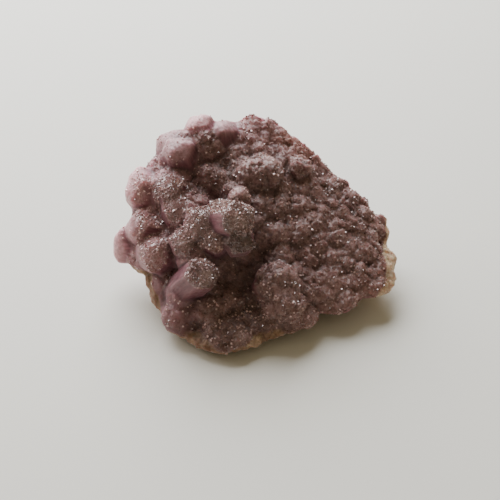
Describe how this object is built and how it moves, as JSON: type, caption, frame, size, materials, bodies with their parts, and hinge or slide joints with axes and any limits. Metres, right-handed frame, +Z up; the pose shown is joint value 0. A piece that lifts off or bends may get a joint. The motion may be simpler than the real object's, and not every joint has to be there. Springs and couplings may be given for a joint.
{
  "type": "cobaltoan calcite specimen",
  "caption": "Hand specimen of mauve-pink druzy calcite: stubby blunt crystals and rounded grains grown over a pale broken matrix, with a flat patch to rest on.",
  "frame": {"origin": "on the flat resting patch, under the middle of the specimen", "axes": "+X along the specimen's length towards its low end, +Z up, -Y towards the front, where the broken rim of matrix shows"},
  "size_m": [0.0733, 0.0543, 0.0386],
  "materials": {
    "calcite_stone": "satin, sugary druse"
  },
  "bodies": {
    "root": {"calcite": "calcite_stone"}
  },
  "joints": []
}
